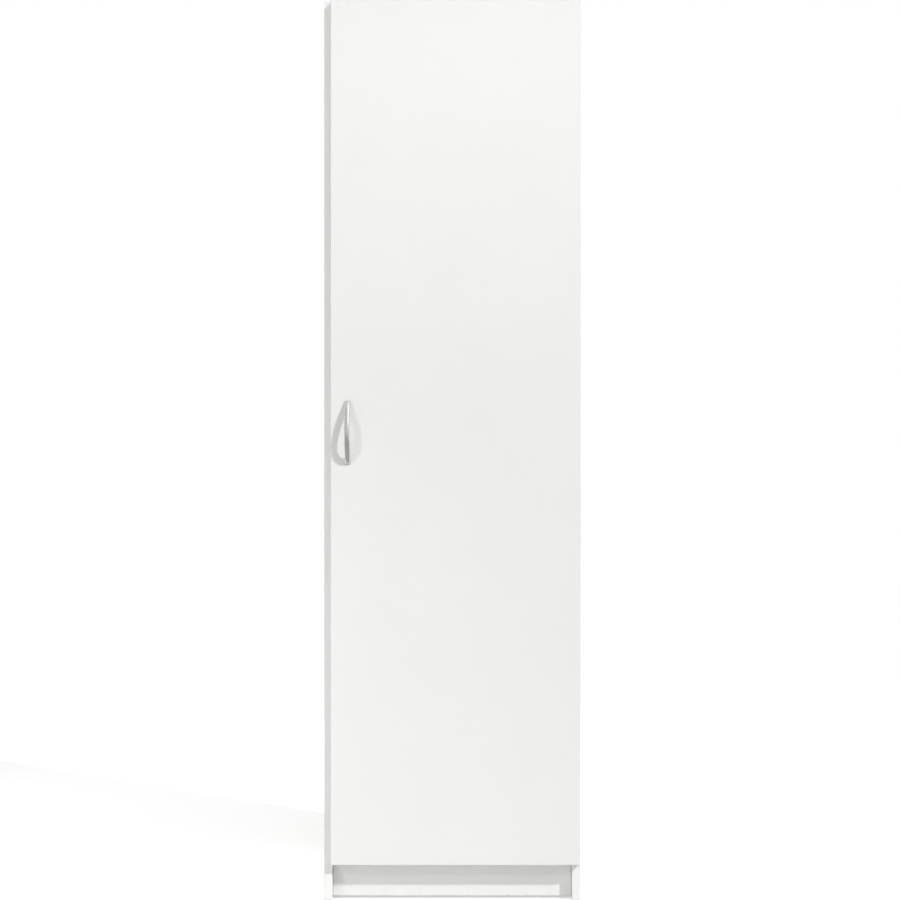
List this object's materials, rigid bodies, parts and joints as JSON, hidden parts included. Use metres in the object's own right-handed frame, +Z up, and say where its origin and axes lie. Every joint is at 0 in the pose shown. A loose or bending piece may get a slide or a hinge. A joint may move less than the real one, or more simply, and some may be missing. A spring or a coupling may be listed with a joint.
{
  "type": "wardrobe",
  "caption": "Tall narrow white wardrobe with a hinged flat door, bow handle, recessed plinth, hat shelf and clothes rail.",
  "frame": {"origin": "on the floor, under the middle of the outline, handle included", "axes": "+Z up, -Y out of the door's front face, +X to the right as one faces the door"},
  "size_m": [0.5, 0.5274, 1.758],
  "materials": {
    "white_board": "white melamine-faced chipboard, satin, white edge band",
    "back_board": "thin fibreboard, white on its inner face",
    "white_plastic": "moulded white plastic",
    "bumper_rubber": "clear soft bumper",
    "handle_nickel": "satin nickel",
    "hinge_steel": "bright nickel plate",
    "fitting_steel": "zinc-plated steel",
    "rail_chrome": "chromed tube",
    "cam_zinc": "zinc die casting"
  },
  "bodies": {
    "carcass": {"left_side_panel": "white_board", "right_side_panel": "white_board", "top_panel": "white_board", "bottom_panel": "white_board", "hat_shelf": "white_board", "plinth_board": "white_board", "back_panel_lower": "back_board", "back_panel_upper": "back_board", "back_joint_strip": "white_plastic", "glide_front_left": "white_plastic", "glide_front_right": "white_plastic", "glide_rear_left": "white_plastic", "glide_rear_right": "white_plastic", "clothes_rail": "rail_chrome", "shelf_pin_front_left": "fitting_steel", "shelf_pin_front_right": "fitting_steel", "shelf_pin_rear_left": "fitting_steel", "shelf_pin_rear_right": "fitting_steel", "rail_bracket_left": "fitting_steel", "rail_bracket_right": "fitting_steel", "hinge_plate_top": "hinge_steel", "hinge_plate_middle": "hinge_steel", "hinge_plate_bottom": "hinge_steel", "hinge_arm_top": "hinge_steel", "hinge_arm_middle": "hinge_steel", "hinge_arm_bottom": "hinge_steel", "cam_lock_top_front_left": "cam_zinc", "cam_bolt_top_front_left": "cam_zinc", "cam_lock_top_front_right": "cam_zinc", "cam_bolt_top_front_right": "cam_zinc", "cam_lock_top_rear_left": "cam_zinc", "cam_bolt_top_rear_left": "cam_zinc", "cam_lock_top_rear_right": "cam_zinc", "cam_bolt_top_rear_right": "cam_zinc", "cam_lock_bottom_front_left": "cam_zinc", "cam_bolt_bottom_front_left": "cam_zinc", "cam_lock_bottom_front_right": "cam_zinc", "cam_bolt_bottom_front_right": "cam_zinc", "cam_lock_bottom_rear_left": "cam_zinc", "cam_bolt_bottom_rear_left": "cam_zinc", "cam_lock_bottom_rear_right": "cam_zinc", "cam_bolt_bottom_rear_right": "cam_zinc"},
    "hinge_levers": {"hinge_lever_top": "hinge_steel", "hinge_lever_middle": "hinge_steel", "hinge_lever_bottom": "hinge_steel"},
    "door": {"door_panel": "white_board", "handle": "handle_nickel", "handle_screw_top": "fitting_steel", "handle_screw_bottom": "fitting_steel", "door_bumper_top": "bumper_rubber", "door_bumper_bottom": "bumper_rubber", "hinge_cup_top": "hinge_steel", "hinge_cup_middle": "hinge_steel", "hinge_cup_bottom": "hinge_steel"}
  },
  "joints": [
    {"name": "lever_turn", "type": "hinge", "parent": "carcass", "child": "hinge_levers", "pos_m": [0.214, -0.21265, 0.915], "axis": [0, 0, -1], "range_deg": [0, 29]},
    {"name": "door_swing", "type": "hinge", "parent": "hinge_levers", "child": "door", "pos_m": [0.2388, -0.22505, 0.915], "axis": [0, 0, 1], "range_deg": [0, 130.5]}
  ],
  "couplings": [
    {"joint": "lever_turn", "follows": "door_swing", "ratio": 0.2222}
  ]
}
